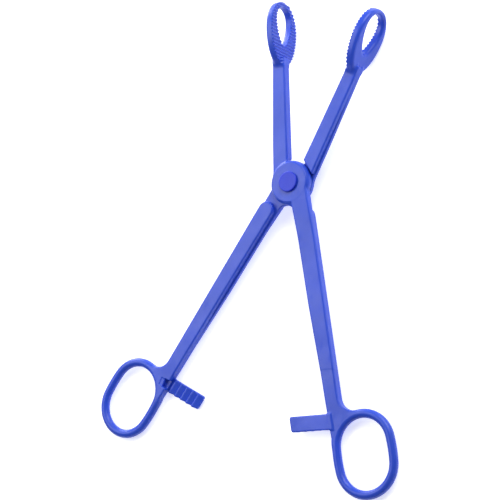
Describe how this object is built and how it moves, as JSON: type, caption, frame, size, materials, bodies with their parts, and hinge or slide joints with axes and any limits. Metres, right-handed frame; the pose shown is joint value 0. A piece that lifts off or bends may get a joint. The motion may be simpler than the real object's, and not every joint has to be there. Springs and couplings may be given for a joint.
{
  "type": "print tongs",
  "caption": "Scissor-action plastic tongs with serrated oval jaw loops, a riveted lap pivot, ratchet bars and oval finger loops, for lifting prints in a darkroom.",
  "frame": {"origin": "on the pivot's axis, midway between the front and back faces of the two laps", "axes": "+Y from the pivot towards the jaws along the middle line, +Z along the pivot's axis towards the rivet's head, +X across to the side of the front lever's finger loop"},
  "size_m": [0.1714, 0.2239, 0.022],
  "materials": {
    "lever": "satin",
    "rivet": "satin"
  },
  "bodies": {
    "rear_body": {"rear_lever": "lever", "pivot_rivet": "rivet"},
    "front_body": {"front_lever": "lever"}
  },
  "joints": [
    {"name": "pivot", "type": "hinge", "parent": "rear_body", "child": "front_body", "pos_m": [0, 0, 0], "axis": [0, 0, 1], "range_deg": [-32.5, 45]}
  ]
}
